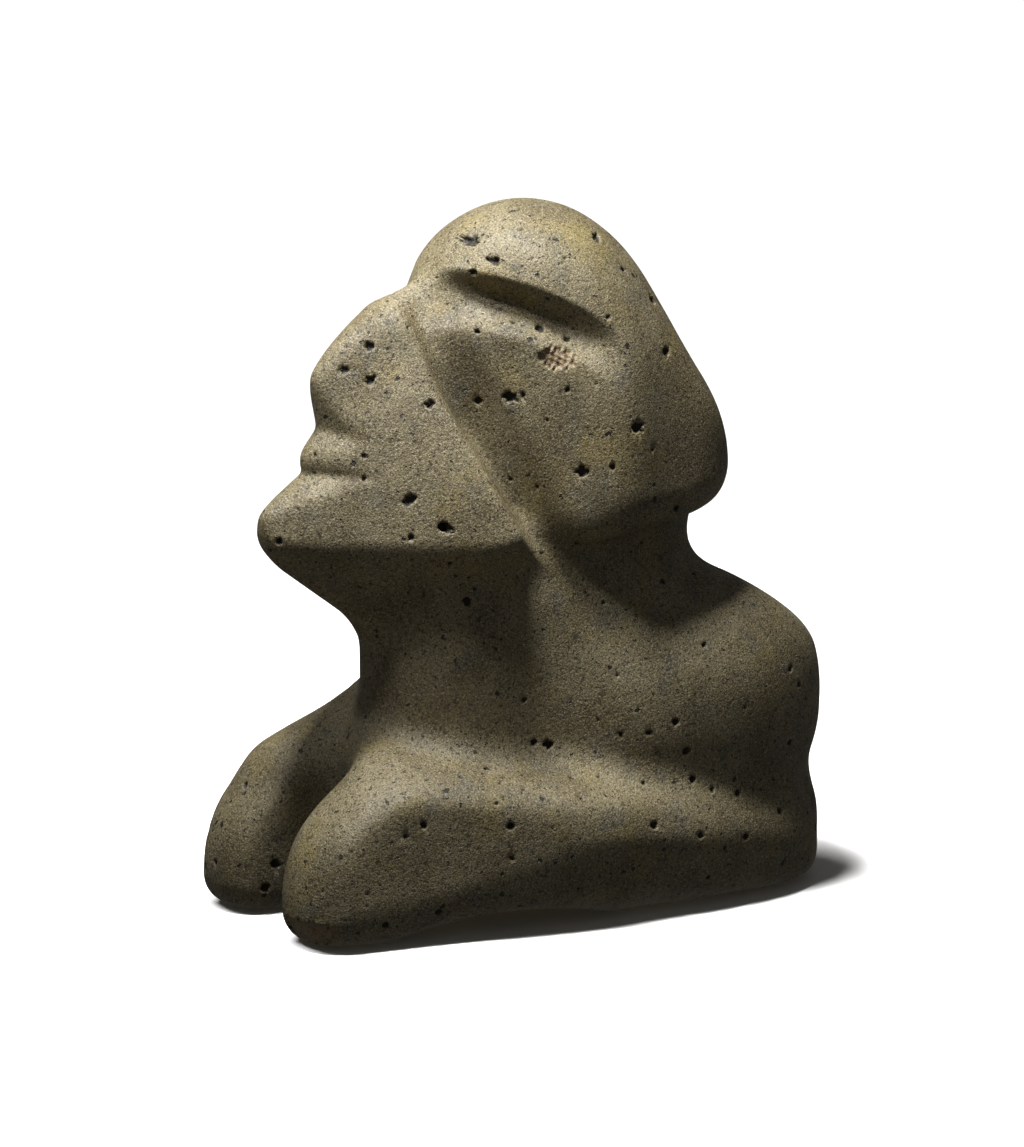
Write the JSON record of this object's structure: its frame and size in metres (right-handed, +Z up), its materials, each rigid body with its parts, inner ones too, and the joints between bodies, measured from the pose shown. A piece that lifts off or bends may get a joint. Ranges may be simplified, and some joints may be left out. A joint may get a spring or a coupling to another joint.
{
  "type": "seated stone figure",
  "caption": "Small seated figure carved in the round from one block of stone, with a tall tilted head, a wedge-shaped face, a humped back and drawn-up legs.",
  "frame": {"origin": "middle of the figure's width and length, on the surface it stands on", "axes": "+Z up, the figure faces -Y and its left side is at +X"},
  "size_m": [0.1052, 0.1785, 0.2005],
  "materials": {
    "stone": "pecked and lightly polished, finely pitted"
  },
  "bodies": {
    "root": {"seated_figure": "stone"}
  },
  "joints": []
}
